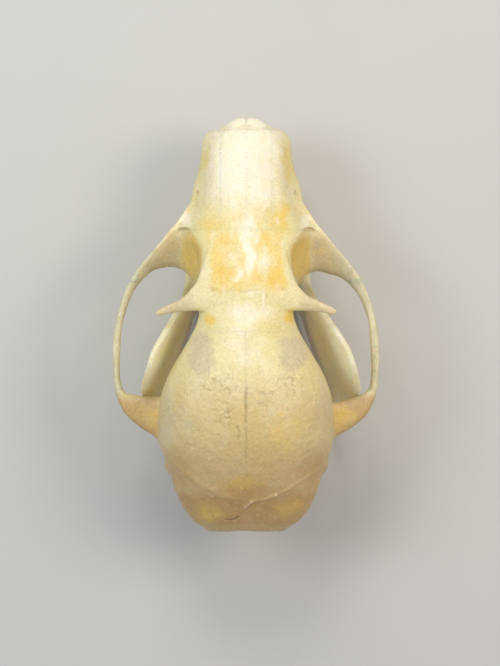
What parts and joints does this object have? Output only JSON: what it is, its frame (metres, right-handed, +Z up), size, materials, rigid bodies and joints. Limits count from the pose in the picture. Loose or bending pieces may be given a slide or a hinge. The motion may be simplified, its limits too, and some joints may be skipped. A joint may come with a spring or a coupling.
{
  "type": "bat skull",
  "caption": "Life-size fruit bat skull with its lower jaw closed, parted into its bones, resting on the jaw with the nose pointing to the front.",
  "frame": {"origin": "middle of the footprint, on the surface that the lower jaw rests on", "axes": "nose to -Y, animal's left to +X, +Z up"},
  "size_m": [0.0184, 0.0288, 0.0141],
  "materials": {
    "dry_bone": "dry, slightly porous cream bone, matt",
    "tooth_enamel": "ivory enamel, satin gloss"
  },
  "bodies": {
    "root": {"premaxilla_left": "dry_bone", "premaxilla_right": "dry_bone", "nasal_left": "dry_bone", "nasal_right": "dry_bone", "maxilla_left": "dry_bone", "maxilla_right": "dry_bone", "frontal": "dry_bone", "parietal_left": "dry_bone", "parietal_right": "dry_bone", "temporal_left": "dry_bone", "temporal_right": "dry_bone", "tympanic_left": "dry_bone", "tympanic_right": "dry_bone", "zygomatic_left": "dry_bone", "zygomatic_right": "dry_bone", "palatine": "dry_bone", "sphenoid": "dry_bone", "occipital": "dry_bone", "mandible_left": "dry_bone", "mandible_right": "dry_bone"}
  },
  "joints": []
}
